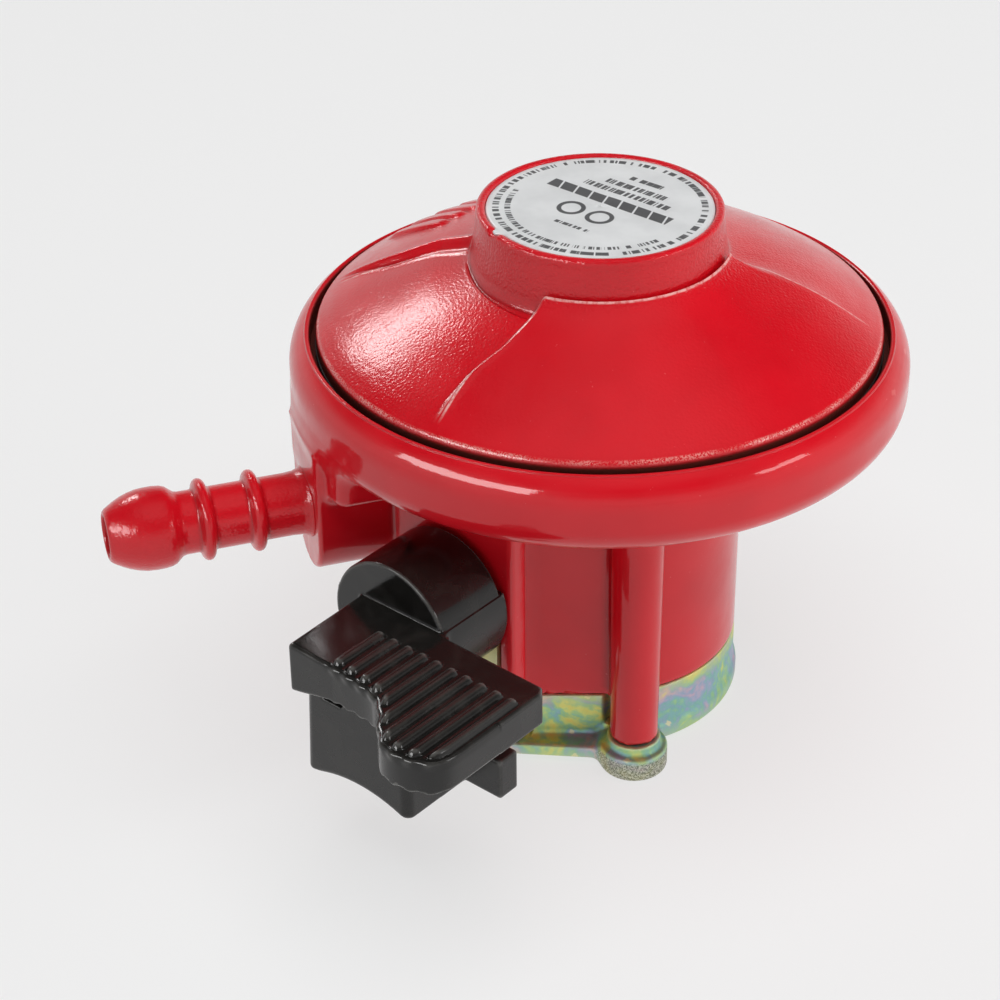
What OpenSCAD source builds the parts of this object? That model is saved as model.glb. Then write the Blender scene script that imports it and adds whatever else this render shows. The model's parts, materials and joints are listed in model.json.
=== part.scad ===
// Clip-on low-pressure gas regulator. Millimetres, +Z up.
// Origin: centre of the inlet bore, level with the underside of the base plate.
// The hose tail points along -X. The lever's shaft lies along a horizontal line
// at lever_az; its parts are drawn in a frame whose x runs outward along that
// shaft and whose y runs along the lever's thumb plate.

/* [Housing] */
// Radius of the rolled rim at its widest
rim_r = 40.2; // [39:0.1:42]
// Height of the rim's underside
rim_bottom_z = 43.9; // [43:0.1:44.5]
// Height of the seam between rim and bonnet
seam_z = 55; // [54.8:0.1:55.2]
// Radius of the seam
seam_r = 37.1; // [37:0.05:37.3]
// Outer radius of the bell below the rim
bell_r = 19.3; // [19:0.1:19.6]
// Radius of the socket that drops over the cylinder valve
socket_r = 13.6; // [13.55:0.05:13.8]
// Depth of that socket above the base plate's underside
socket_top_z = 19; // [17:0.5:19]
// Height of the red casting's lower edge on the steel skirt
skirt_top_z = 8.5; // [8:0.1:9]

/* [Bonnet] */
// Height of the bonnet's neck
neck_top_z = 71; // [70.5:0.1:72]
// Radius of the rating disc
disc_r = 14.45; // [14:0.05:14.5]

/* [Outlet] */
// Height of the hose tail's axis
outlet_z = 35; // [34.5:0.1:35.5]
// Distance of the hose tail's tip from the body axis
outlet_tip = 66.2; // [64:0.1:68]
// Radius of the hose tail's plain tube
tube_r = 4.1; // [3.9:0.05:4.3]
// Radius of the gas way through the hose tail
outlet_bore_r = 2.75; // [2.5:0.05:3]

/* [Lever] */
// Direction of the lever's shaft, seen from above
lever_az = 211.6; // [210:0.1:213]
// Height of the shaft
shaft_z = 28; // [27.8:0.1:28.2]
// Radius of the shaft
shaft_r = 4; // [3.9:0.05:4]
// Radius of the lever's drum
drum_r = 9.26; // [9:0.02:9.4]
// Distance from the body axis to the drum's front face
drum_front = 41.1; // [41:0.1:41.5]
// Height of the thumb plate's top
plate_top_z = 31.7; // [31.5:0.1:32]
// Number of grip ribs on the thumb plate
rib_count = 10; // [8:1:10]

/* [Base] */
// Distance of each foot from the body axis
foot_pcd_r = 22; // [21.8:0.1:22.2]
// Angle between the lever's shaft and each front foot
foot_angle = 52.3; // [51:0.1:53]
// Radius of a foot
foot_r = 4.5; // [4.3:0.1:4.6]
// How far the feet stand below the base plate
foot_drop = 1; // [0.5:0.1:1.2]

/* [Regulating parts] */
// Lift of the diaphragm from open to shut
diaphragm_lift = 1.6; // [1.4:0.1:1.6]
// Distance from the stem to the rocker's pivot
rocker_long = 8; // [8:0.5:8]
// Distance from the rocker's pivot to the jet
rocker_short = 4; // [4:0.5:4]
// Throw of the shaft's crank pin
crank_throw = 2.5; // [2.4:0.05:2.5]

/* [Hidden] */
$fn = 96;

bowl_floor_z = 46;
bowl_r = 30.5;
seat_z = 52;
rim_round = 4;
shoulder_rx = 4.6;
shoulder_rz = 5.2;
shoulder_z = 50.3;
shoulder_turn = 61;
chamber_r = 7;
chamber_top_z = 34;
wall_angle = 39.4;
neck_half = 5.2;
collar_half = 9.8;
collar_back = 26.2;
collar_front = 29.2;
drum_back = 30.2;
shaft_bore_r = shaft_r + 0.05;
spigot_z = 4;
spigot_r = bell_r - 1.6;
skirt_inner_r = bell_r - 1.5;
plate_t = 2;
boss_half = 6.3;
boss_end = 40;
boss_root = 15;
boss_low_z = 32;
apron_r = 39.3;
apron_angle = 15.7;
apron_z = 39;
apron_t = 6;
gallery_x = 24;
ring_x = [47, 53.6];
ring_r = 0.85;
barrel_x = outlet_tip - 6.2;
post_r = 3.3;
post_h = 41;
pilot_r = 1.42;
ear_y = 3.6;
ear_size = [3.6, 1.8, 5.8];
ear_hole_r = 0.8;
jet_x = rocker_long + rocker_short;
pivot_z = 49;
rest_tilt = asin(diaphragm_lift / rocker_long);
jet_r = 2.95;
jet_seat_z = 45.7;
jet_way_tilt = 152;
pin_r = 0.79;
pin_x = 20;
pin_y = 3.8;
stem_r = 2;
bar_t = 1.5;
stem_bar_z = pivot_z - diaphragm_lift;
crank_r = 1.2;
crank_rest = crank_throw * cos(45);
slide_z = 2.15;
slide_t = 1.4;
arm_left = 1.9;
arm_right = 5;
tongue_right = 7.1;
tongue_x = 28.4;
block_left = -4;
block_right = 12.4;
block_front = 52.2;
block_low_z = 10.5;
tab_right = 18.6;
tab_low_z = 11;
tab_high_z = 16.8;
lug_left = 4.6;
lug_half_z = 3;
square_half = 2.8;
square_end = 37.9;
rib_x = 46;
rib_first = 3.2;
rib_pitch = 2.3;
rib_r = 0.9;
rib_drop = 0.9;
dome_profile = [[32, 3], [27, 5.6], [22, 7.6], [17.5, 8.9], [16.4, 10]];
neck_r = 15.6;
vent_az = 125;
vent_x = 23;
red = [0.80, 0.10, 0.14];
black = [0.08, 0.08, 0.08];
zinc = [0.72, 0.70, 0.45];
steel = [0.70, 0.71, 0.72];
brass = [0.80, 0.65, 0.32];
rubber = [0.13, 0.13, 0.13];

// Points of an arc about centre c, with separate radii along x and y.
function arc(c, rx, ry, a0, a1, n) =
    [for (i = [0:n]) let (a = a0 + (a1 - a0) * i / n) [c[0] + rx * cos(a), c[1] + ry * sin(a)]];

// Rings of a round wire wound as a helix, one ring per step.
function coil_rings(r, wire, z0, z1, turns, steps, sides) =
    [for (i = [0:steps], k = [0:sides - 1])
        let (a = 360 * turns * i / steps, b = 360 * k / sides)
        [(r + wire * cos(b)) * cos(a), (r + wire * cos(b)) * sin(a),
         z0 + (z1 - z0) * i / steps + wire * sin(b)]];

// Faces that join the rings and close both ends.
function coil_faces(steps, sides) = concat(
    [[for (k = [0:sides - 1]) k]],
    [for (i = [0:steps - 1], k = [0:sides - 1])
        [i * sides + k, (i + 1) * sides + k,
         (i + 1) * sides + (k + 1) % sides, i * sides + (k + 1) % sides]],
    [[for (k = [sides - 1:-1:0]) steps * sides + k]]);

// Round wire spring standing on z0.
module coil_spring(r, wire, z0, z1, turns) {
    steps = turns * 24;
    sides = 10;
    rings = coil_rings(r, wire, z0, z1, turns, steps, sides);
    polyhedron(rings, coil_faces(steps, sides), convexity = 10);
}

// Children drawn with x outward along the lever's shaft.
module at_lever() {
    rotate([0, 0, lever_az]) children();
}

// Cylinder whose axis runs outward along the lever's shaft.
module shaft_cylinder(r, from, to) {
    translate([from, 0, shaft_z]) rotate([0, 90, 0]) cylinder(r = r, h = to - from);
}

// Children at each foot, in the lever's frame.
module at_feet() {
    for (a = [foot_angle, -foot_angle, 180]) rotate([0, 0, a]) translate([foot_pcd_r, 0, 0]) children();
}

// Plan of the bell: a round wall with two flats tangent to it that run to the neck.
module bell_plan(r) {
    neck_x = (r - neck_half * sin(wall_angle)) / cos(wall_angle);
    polygon(concat(
        arc([0, 0], r, r, wall_angle, 360 - wall_angle, 80),
        [[neck_x, -neck_half], [neck_x, neck_half]]));
}

// Box from one corner to the opposite one.
module box(low, high) {
    translate(low) cube(high - low);
}

// Half section of the diaphragm bowl with its rolled rim.
module rim_section() {
    polygon(concat(
        [[0, rim_bottom_z]],
        arc([rim_r - rim_round, rim_bottom_z + rim_round], rim_round, rim_round, -90, 0, 10),
        arc([rim_r - shoulder_rx, shoulder_z], shoulder_rx, shoulder_rz, 0, shoulder_turn, 12),
        [[seam_r + 0.2, seam_z - 0.4], [seam_r, seam_z - 0.9], [seam_r, seat_z],
         [bowl_r, seat_z], [bowl_r, bowl_floor_z], [0, bowl_floor_z]]));
}

// Outlet boss with a round underside, and the apron that ties it to the rim.
module outlet_boss() {
    translate([-boss_end, 0, boss_low_z]) rotate([0, 90, 0])
        cylinder(r = boss_half, h = boss_end - boss_root);
    box([-boss_end, -boss_half, boss_low_z], [-boss_root, boss_half, bowl_floor_z - 1]);
    rotate([0, 0, 180 - apron_angle]) rotate_extrude(angle = 2 * apron_angle)
        translate([bowl_r + 1, apron_z]) square([apron_r - bowl_r - 1, apron_t]);
}

// Ears that carry the rocker's pin.
module rocker_ears() {
    for (side = [-1, 1]) difference() {
        translate([rocker_long, side * ear_y, bowl_floor_z - 1])
            translate([-ear_size[0] / 2, -ear_size[1] / 2, 0]) cube(ear_size);
        translate([rocker_long, side * ear_y - 1, pivot_z]) rotate([-90, 0, 0])
            cylinder(r = ear_hole_r, h = 2, $fn = 32);
    }
}

module lower_body() color(red) {
    difference() {
        union() {
            rotate_extrude() rim_section();
            at_lever() {
                translate([0, 0, skirt_top_z])
                    linear_extrude(rim_bottom_z + 1 - skirt_top_z) bell_plan(bell_r);
                translate([0, 0, spigot_z]) linear_extrude(5) bell_plan(spigot_r);
                box([boss_root, -neck_half, skirt_top_z], [collar_back + 1, neck_half, rim_bottom_z + 1]);
                box([collar_back, -collar_half, skirt_top_z],
                    [collar_front, collar_half, rim_bottom_z + 1]);
                at_feet() translate([0, 0, spigot_z])
                    cylinder(r1 = post_r - 0.15, r2 = post_r + 0.15, h = post_h);
            }
            outlet_boss();
        }
        translate([0, 0, -1]) cylinder(r = socket_r, h = socket_top_z + 1);
        cylinder(r = chamber_r, h = chamber_top_z);
        translate([0, 0, bowl_floor_z - 4]) cylinder(r = 5, h = 5);
        translate([jet_x, 0, bowl_floor_z - 5]) cylinder(r = jet_r + 0.02, h = 6);
        translate([jet_x, 0, bowl_floor_z - 1.2]) cylinder(r = 3.8, h = 2);
        translate([jet_x, 0, bowl_floor_z - 4]) rotate([0, -jet_way_tilt, 0])
            cylinder(r = 1.5, h = 14, $fn = 32);
        at_lever() {
            shaft_cylinder(shaft_bore_r, 0, collar_front + 1);
            translate([pin_x, pin_y, skirt_top_z - 1]) cylinder(r = pin_r + 0.01, h = 26, $fn = 32);
            box([collar_back + 0.7, arm_left - 0.3, 0], [collar_front + 1, tongue_right + 0.3, 23.3]);
            at_feet() translate([0, 0, spigot_z - 1]) cylinder(r = pilot_r, h = 11, $fn = 32);
        }
        translate([-boss_end - 1, 0, outlet_z]) rotate([0, 90, 0]) cylinder(r = tube_r - 0.08, h = 9);
        translate([-boss_end, 0, outlet_z]) rotate([0, 90, 0]) cylinder(r = outlet_bore_r, h = 18);
        translate([-gallery_x, 0, outlet_z]) cylinder(r = outlet_bore_r, h = 12);
    }
    rocker_ears();
}

// Hose tail, turned about its own axis, with two rings and a barrel-shaped end.
module hose_nozzle() color(red) translate([0, 0, outlet_z]) rotate([0, -90, 0]) rotate_extrude() {
    polygon(concat(
        [[outlet_bore_r, 32], [tube_r - 0.1, 32], [tube_r - 0.1, boss_end], [tube_r, boss_end],
         [tube_r, outlet_tip - 9.6]],
        arc([3.3, barrel_x], 2.05, 3.2, -62, 0, 8),
        arc([2.15, barrel_x], 3.2, 6.6, 8, 66, 12),
        [[3.3, outlet_tip], [outlet_bore_r, outlet_tip]]));
    for (x = ring_x) translate([tube_r + 0.45, x]) circle(r = ring_r, $fn = 32);
}

// Plan of the base plate between its feet, with the wedge under the lever's neck.
module floor_plan() {
    polygon([[13.6, -19.3], [26, -1.5], [26, 1.5], [13.6, 19.3], [6, 16],
             [-14, 8], [-21.4, 4.1], [-21.4, -4.1], [-14, -8], [6, -16]]);
}

module base_plate() color(zinc) at_lever() difference() {
    union() {
        linear_extrude(plate_t) floor_plan();
        linear_extrude(skirt_top_z) bell_plan(bell_r);
        at_feet() translate([0, 0, -foot_drop]) cylinder(r = foot_r, h = foot_drop + 2.5);
        at_feet() cylinder(r = 3.55, h = spigot_z);
    }
    translate([0, 0, plate_t]) linear_extrude(skirt_top_z) bell_plan(skirt_inner_r);
    translate([0, 0, -2]) cylinder(r = socket_r, h = 6);
    box([14, arm_left - 0.4, plate_t], [30, arm_right + 0.4, skirt_top_z + 1]);
    at_feet() {
        translate([0, 0, spigot_z]) cylinder(r = post_r + 0.6, h = 6);
        translate([0, 0, -foot_drop - 1]) cylinder(r = 2.9, h = foot_drop + 2);
        cylinder(r = 1.45, h = 6, $fn = 32);
    }
}

module base_screws() color(steel) at_lever() at_feet() difference() {
    union() {
        translate([0, 0, 1.8 - foot_drop - 1.5]) cylinder(r = 2.7, h = 1.7, $fn = 48);
        cylinder(r = 1.4, h = 13, $fn = 32);
    }
    for (turn = [0, 90]) rotate([0, 0, turn]) translate([-1.6, -0.3, -1]) cube([3.2, 0.6, 1]);
}

module bonnet() color(red) difference() {
    rotate_extrude() polygon(concat(
        [[31, seat_z + 1], [seam_r - 0.1, seat_z + 1]],
        [[seam_r - 0.1, seam_z - 0.3], [seam_r - 0.3, seam_z]],
        [for (p = dome_profile) [p[0], seam_z + p[1]]],
        [[neck_r, neck_top_z - 0.6], [neck_r - 0.4, neck_top_z], [disc_r + 0.1, neck_top_z]],
        [[disc_r + 0.1, neck_top_z - 0.7], [11, neck_top_z - 0.7], [11, seam_z + 7.4]],
        [[20, seam_z + 5.6], [31, seam_z + 0.6]]));
    rotate([0, 0, vent_az]) translate([vent_x, 0, seam_z]) cylinder(r = 0.9, h = 12, $fn = 32);
}

module rating_disc() color(steel) translate([0, 0, neck_top_z - 0.65]) cylinder(r = disc_r, h = 0.4);

module adjuster_plug() color(brass) difference() {
    translate([0, 0, 64.6]) cylinder(r = 10.95, h = 4);
    translate([0, 0, 64]) cylinder(r = 4, h = 6, $fn = 6);
}

module main_spring() color(steel) coil_spring(8.1, 0.8, 54.25, 63.75, 4);

module spring_plate() color(steel) difference() {
    union() {
        translate([0, 0, seat_z + 0.4]) cylinder(r = 23, h = 1);
        translate([0, 0, seat_z + 1]) cylinder(r = 10.2, h = 1.6);
    }
    translate([0, 0, seat_z]) cylinder(r = stem_r, h = 4);
    difference() {
        translate([0, 0, seat_z + 1.4]) cylinder(r = 9.4, h = 3);
        translate([0, 0, seat_z + 1]) cylinder(r = 5.5, h = 1);
    }
}

// Rubber disc with one raised convolution, clamped at its edge.
module diaphragm() color(rubber) rotate_extrude() polygon(concat(
    [[stem_r, seat_z - 0.6], [24, seat_z - 0.6], [25, seat_z]],
    arc([26.6, seat_z + 0.6], 1.6, 1.6, 180, 0, 10),
    [[28.4, seat_z + 0.01], [seam_r - 0.4, seat_z + 0.01]],
    [[seam_r - 0.4, seat_z + 0.99], [29.2, seat_z + 0.99]],
    arc([26.6, seat_z + 0.6], 2.6, 2.6, 10, 170, 12),
    [[23.6, seat_z + 0.39], [stem_r, seat_z + 0.39]]));

module diaphragm_stem() color(brass) {
    translate([0, 0, stem_bar_z + 1.8]) cylinder(r = stem_r, h = 8);
    difference() {
        translate([-0.8, -3.2, stem_bar_z - 2.2]) cube([1.6, 6.4, 4.2]);
        translate([-1, -2.4, stem_bar_z - 1.15]) cube([2, 4.8, 2.3]);
    }
}

module stem_nut() color(steel) difference() {
    translate([0, 0, seat_z + 2.01]) cylinder(r = 4.2, h = 2.2, $fn = 6);
    translate([0, 0, seat_z + 1]) cylinder(r = stem_r, h = 5);
}

module stem_washer() color(steel) difference() {
    translate([0, 0, seat_z - 1.41]) cylinder(r = 6, h = 0.8);
    translate([0, 0, seat_z - 2]) cylinder(r = stem_r, h = 3);
}

// Children drawn with the rocker level, then tipped to its rest position.
module rocker_rest() {
    translate([rocker_long, 0, pivot_z]) rotate([0, -rest_tilt, 0])
        translate([-rocker_long, 0, -pivot_z]) children();
}

module rocker_arm() color(steel) rocker_rest() difference() {
    union() {
        translate([-1.2, -2, pivot_z - bar_t / 2]) cube([jet_x + 3.2, 4, bar_t]);
        translate([rocker_long, -2.5, pivot_z]) rotate([-90, 0, 0]) cylinder(r = 1.7, h = 5, $fn = 48);
        translate([jet_x, 0, jet_seat_z + 0.7]) cylinder(r = 2.7, h = pivot_z - jet_seat_z - 0.9);
    }
    translate([rocker_long, -3, pivot_z]) rotate([-90, 0, 0]) cylinder(r = 0.84, h = 6, $fn = 32);
    translate([jet_x, 0, jet_seat_z]) cylinder(r = 2.32, h = 1.5);
}

module rocker_pin() color(steel)
    translate([rocker_long, -4.5, pivot_z]) rotate([-90, 0, 0]) cylinder(r = pin_r, h = 9, $fn = 32);

module valve_pad() color(rubber) rocker_rest()
    translate([jet_x, 0, jet_seat_z + 0.02]) cylinder(r = 2.3, h = 1.45, $fn = 64);

module valve_jet() color(brass) translate([jet_x, 0, 0]) difference() {
    union() {
        translate([0, 0, 41.6]) cylinder(r = jet_r, h = 3.6);
        translate([0, 0, 45]) cylinder(r = 1.6, h = jet_seat_z - 45, $fn = 64);
    }
    translate([0, 0, 41]) cylinder(r = 0.9, h = 6, $fn = 32);
}

module inlet_filter() color(brass) translate([jet_x, 0, 41.05]) difference() {
    cylinder(r = jet_r, h = 0.5);
    for (i = [0:5]) rotate([0, 0, 60 * i]) translate([1.7, 0, -1]) cylinder(r = 0.45, h = 2, $fn = 24);
    translate([0, 0, -1]) cylinder(r = 0.45, h = 2, $fn = 24);
}

module inlet_bush() color(brass) difference() {
    translate([0, 0, 20.6]) cylinder(r = chamber_r - 0.02, h = 2.9);
    translate([0, 0, 20]) cylinder(r = 2.05, h = 5, $fn = 64);
    translate([0, 0, 21.5]) cylinder(r = 2.82, h = 1.1, $fn = 64);
}

module inlet_seal() color(rubber) difference() {
    translate([0, 0, socket_top_z + 0.05]) cylinder(r = chamber_r - 0.1, h = 1.5);
    translate([0, 0, socket_top_z - 1]) cylinder(r = 2.6, h = 4, $fn = 64);
}

// Hollow rod that opens the cylinder valve, with a yoke for the crank pin.
module probe() color(brass) difference() {
    union() {
        translate([0, 0, socket_top_z + 0.2]) cylinder(r = 2, h = 8.3, $fn = 64);
        at_lever() box([-2, -3.2, shaft_z - 0.6], [2, 4.6, shaft_z + 4.2]);
    }
    translate([0, 0, socket_top_z - 1]) cylinder(r = 0.8, h = 7.5, $fn = 32);
    at_lever() {
        box([-3, 0.3, shaft_z + crank_rest - crank_r - 0.18],
            [3, 5, shaft_z + crank_rest + crank_r + 0.18]);
        translate([-3, 0, 25.2]) rotate([0, 90, 0]) cylinder(r = 0.7, h = 6, $fn = 24);
    }
}

module probe_oring() color(rubber) translate([0, 0, 22.05]) rotate_extrude()
    translate([2.43, 0]) circle(r = 0.37, $fn = 24);

// Outline of the thumb plate, x outward along the shaft, y along the plate.
module thumb_plate_plan() {
    polygon(concat(
        [[drum_front - 1, -3.9], [53.6, -3.9], [54.5, -3.1], [55.2, 9.3], [56.1, 11.6], [58.9, 13.8]],
        arc([55.9, 19.6], 6.4, 6.2, -55, 90, 14),
        [[42, 25.8], [41.2, 25]]));
}

// Where the rib at y ends: short beside the block, then out to the wide end.
function rib_end(y) = y < 10 ? 54.3 : min(60.6, 57 + (y - 10) * 0.45);

module lever() color(black) at_lever() difference() {
    union() {
        shaft_cylinder(drum_r, drum_back, drum_front);
        translate([0, 0, plate_top_z - 5.4]) linear_extrude(5.1) thumb_plate_plan();
        box([drum_front - 1, block_left, block_low_z], [block_front, block_right, plate_top_z - 5]);
        box([38.6, block_right - 1, tab_low_z], [42, tab_right, tab_high_z]);
        intersection() {
            shaft_cylinder(drum_r, collar_front + 0.1, drum_back + 1);
            box([collar_front, lug_left, shaft_z - lug_half_z],
                [drum_back + 2, drum_r, shaft_z + lug_half_z]);
        }
        for (i = [0:rib_count - 1]) let (y = rib_first + rib_pitch * i)
            translate([rib_x, y, plate_top_z - rib_drop]) rotate([0, 90, 0])
                cylinder(r = rib_r, h = rib_end(y) - rib_x, $fn = 24);
    }
    box([drum_back - 1, -square_half - 0.05, shaft_z - square_half - 0.05],
        [square_end + 0.1, square_half + 0.05, shaft_z + square_half + 0.05]);
    translate([47, 4.2, -7.6]) rotate([0, 90, 0]) cylinder(r = 19.5, h = 8);
}

module lever_shaft() color(steel) at_lever() {
    difference() {
        shaft_cylinder(shaft_r, 3.4, drum_back - 0.5);
        for (groove = [[12, 13.6], [19, 21]]) difference() {
            shaft_cylinder(shaft_r + 1, groove[0], groove[1]);
            shaft_cylinder(2.9, groove[0] - 1, groove[1] + 1);
        }
    }
    box([drum_back - 1, -square_half, shaft_z - square_half],
        [square_end, square_half, shaft_z + square_half]);
    translate([-2.2, crank_rest, crank_rest + shaft_z]) rotate([0, 90, 0])
        cylinder(r = crank_r, h = 6, $fn = 48);
}

module shaft_oring() color(rubber) at_lever()
    translate([12.8, 0, shaft_z]) rotate([0, 90, 0]) rotate_extrude()
    translate([3.48, 0]) circle(r = 0.53, $fn = 24);

module shaft_pin() color(steel) at_lever()
    translate([pin_x, pin_y, skirt_top_z + 0.3]) cylinder(r = pin_r, h = 24, $fn = 32);

// Steel slide under the bell, with a tongue that stands behind the lever's drum.
module lock_slide() color(zinc) at_lever() difference() {
    union() {
        translate([0, 0, slide_z]) cylinder(r = 16.1, h = slide_t);
        box([10, arm_left, slide_z], [tongue_x + 0.7, arm_right, slide_z + slide_t]);
        box([tongue_x, arm_left, slide_z], [tongue_x + 0.7, arm_right, 12]);
        box([tongue_x, arm_left, 10], [tongue_x + 0.7, tongue_right, 22.8]);
    }
    translate([0, 0, slide_z - 1]) cylinder(r = 13.9, h = slide_t + 2);
}

// Bowed strip that pushes the slide back towards the lever.
module lock_spring() color(steel) at_lever() translate([-4.6, 0, slide_z + 0.1]) rotate([0, 0, 132])
    rotate_extrude(angle = 96) translate([12.85, 0]) square([0.3, 1.2]);

lower_body();
hose_nozzle();
base_plate();
base_screws();
bonnet();
rating_disc();
adjuster_plug();
main_spring();
spring_plate();
diaphragm();
diaphragm_stem();
stem_nut();
stem_washer();
rocker_arm();
rocker_pin();
valve_pad();
valve_jet();
inlet_filter();
inlet_bush();
inlet_seal();
probe();
probe_oring();
lever();
lever_shaft();
shaft_oring();
shaft_pin();
lock_slide();
lock_spring();
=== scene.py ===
"""Looks for a clip-on gas regulator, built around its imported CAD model.

Castings, the base plate and the lever are distance fields: plain shapes that
blend, round and cut each other, meshed once and slid onto the true surface.
Fields work in millimetres in the row frame, and meshes are in metres.
"""
import json
import math

import bpy
import numpy as np
import openvdb
from mathutils import Matrix, Vector


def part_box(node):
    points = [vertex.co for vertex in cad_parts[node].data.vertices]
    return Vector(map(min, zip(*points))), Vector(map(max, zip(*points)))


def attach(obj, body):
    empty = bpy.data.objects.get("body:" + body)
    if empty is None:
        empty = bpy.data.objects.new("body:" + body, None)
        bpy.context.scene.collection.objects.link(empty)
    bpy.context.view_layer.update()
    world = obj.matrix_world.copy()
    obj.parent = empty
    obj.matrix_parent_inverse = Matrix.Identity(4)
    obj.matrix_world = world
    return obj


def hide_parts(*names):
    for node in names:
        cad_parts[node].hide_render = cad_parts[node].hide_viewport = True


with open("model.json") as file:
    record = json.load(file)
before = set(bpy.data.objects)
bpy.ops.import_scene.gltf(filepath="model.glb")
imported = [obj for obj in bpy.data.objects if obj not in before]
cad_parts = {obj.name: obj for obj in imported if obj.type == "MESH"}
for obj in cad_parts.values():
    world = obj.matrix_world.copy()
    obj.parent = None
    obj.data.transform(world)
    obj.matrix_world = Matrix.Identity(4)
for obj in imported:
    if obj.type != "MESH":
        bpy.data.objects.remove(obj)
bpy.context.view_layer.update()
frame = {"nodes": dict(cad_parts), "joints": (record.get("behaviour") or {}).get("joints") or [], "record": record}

MM = 0.001
TAU = 2 * math.pi

# ---------------------------------------------------------------- the frame
joints = {j["name"]: j for j in frame["joints"]}


def top(node):
    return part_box(node)[1].z / MM


def bottom(node):
    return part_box(node)[0].z / MM


lever_axis = joints["lever_turn"]["axis"]
OUT_X, OUT_Y = -lever_axis[0], -lever_axis[1]
SHAFT_Z = joints["lever_turn"]["pos_m"][2] / MM
RIM_TOP = top("lower_body")
RIM_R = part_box("lower_body")[1].x / MM
NECK_TOP = top("bonnet")
SKIRT_TOP = top("base_plate")
FOOT_BOTTOM = bottom("base_plate")
TAIL_TIP = -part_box("hose_nozzle")[0].x / MM
TAIL_Z = (top("hose_nozzle") + bottom("hose_nozzle")) / 2

# Sizes that the meshes below share with the CAD.
BELL_R = 19.3
WALL_ANGLE = math.radians(39.4)
RIM_BOTTOM = 43.9
SOCKET_R = 13.6
FEET = [math.radians(a) for a in (52.3, -52.3, 180.0)]
FOOT_REACH = 22.0
SHAFT_NECK_HALF = 5.2


def to_lever(x, y):
    """Distance out along the lever's shaft, and distance along its thumb plate."""
    return x * OUT_X + y * OUT_Y, -x * OUT_Y + y * OUT_X


def from_lever(u, v):
    return u * OUT_X - v * OUT_Y, u * OUT_Y + v * OUT_X


# ------------------------------------------------------------ field shapes
def blend(a, b, k):
    """Union of two fields with a fillet about k wide where they meet."""
    h = np.maximum(k - np.abs(a - b), 0) / k
    return np.minimum(a, b) - h * h * k / 4


def cut(a, b, k=0.4):
    """Field a with b taken away, its new edge broken by about k."""
    return -blend(-a, b, k)


def slab(z, low, high):
    return np.abs(z - (low + high) / 2) - (high - low) / 2


def edge(a, b, r):
    """What is inside both fields, with the edge between them rounded to r."""
    p, q = a + r, b + r
    return np.minimum(np.maximum(p, q), 0) + np.hypot(np.maximum(p, 0), np.maximum(q, 0)) - r


def block(x, y, z, low, high, r=0.5):
    """Box between two corners with all its edges rounded to r."""
    p = slab(x, low[0], high[0]) + r
    q = slab(y, low[1], high[1]) + r
    s = slab(z, low[2], high[2]) + r
    outside = np.sqrt(np.maximum(p, 0) ** 2 + np.maximum(q, 0) ** 2 + np.maximum(s, 0) ** 2)
    return np.minimum(np.maximum(np.maximum(p, q), s), 0) + outside - r


def outline(x, y, points):
    """Signed distance to a closed outline in a plane."""
    nearest = None
    inside = False
    for (ax, ay), (bx, by) in zip(points, points[1:] + points[:1]):
        ex, ey = bx - ax, by - ay
        px, py = x - ax, y - ay
        t = np.clip((px * ex + py * ey) / (ex * ex + ey * ey), 0, 1)
        gap = np.hypot(px - t * ex, py - t * ey)
        nearest = gap if nearest is None else np.minimum(nearest, gap)
        crosses = (ay > y) != (by > y)
        with np.errstate(divide="ignore", invalid="ignore"):
            side = x < ex * (y - ay) / (ey if ey else 1e-9) + ax
        inside = inside ^ (crosses & side)
    return np.where(inside, -nearest, nearest)


def smooth_step(t, low, high):
    t = np.clip((t - low) / (high - low), 0, 1)
    return t * t * (3 - 2 * t)


def arc(cx, cy, rx, ry, a0, a1, n):
    """Points along part of an ellipse, angles in degrees."""
    angles = np.radians(np.linspace(a0, a1, n + 1))
    return [(cx + rx * math.cos(a), cy + ry * math.sin(a)) for a in angles]


def softened(points, rounds):
    """An open line with its corners cut, over and over, so that it curves."""
    for _ in range(rounds):
        inner = []
        for (ax, ay), (bx, by) in zip(points, points[1:]):
            inner += [(0.75 * ax + 0.25 * bx, 0.75 * ay + 0.25 * by),
                      (0.25 * ax + 0.75 * bx, 0.25 * ay + 0.75 * by)]
        points = [points[0]] + inner[1:-1] + [points[-1]]
    return points


# ------------------------------------------------------------ mesh helpers
FIELD_LIMIT = 3.0   # how many grid steps from the surface a field is kept
SLIDES = 4          # times each point is slid towards the true surface


def piece(name, points, faces, normals, body, material, slot, *nodes):
    """A mesh in the row frame that rides on a body and stands for CAD nodes."""
    mesh = bpy.data.meshes.new(name)
    mesh.from_pydata((np.asarray(points) * MM).tolist(), [], [list(map(int, f)) for f in faces])
    mesh.update()
    mesh.polygons.foreach_set("use_smooth", [True] * len(mesh.polygons))
    mesh.normals_split_custom_set_from_vertices(normals.tolist())
    obj = bpy.data.objects.new(name, mesh)
    bpy.context.scene.collection.objects.link(obj)
    mesh.materials.append(material)
    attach(obj, body)
    if nodes:
        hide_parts(*nodes)
    return obj


def gradient(field, points, h=0.05):
    x, y, z = points.T
    return np.stack([
        field(x + h, y, z) - field(x - h, y, z),
        field(x, y + h, z) - field(x, y - h, z),
        field(x, y, z + h) - field(x, y, z - h)], axis=1) / (2 * h)


def straight_grid(low, high, step):
    """Counts and map of an even grid over a box."""
    low = np.array(low, float) - 2.5 * step
    counts = [int((b + 3 * step - a) / step) for a, b in zip(low, high)]
    return counts, lambda i, j, k: (low[0] + step * i, low[1] + step * j, low[2] + step * k)


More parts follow.
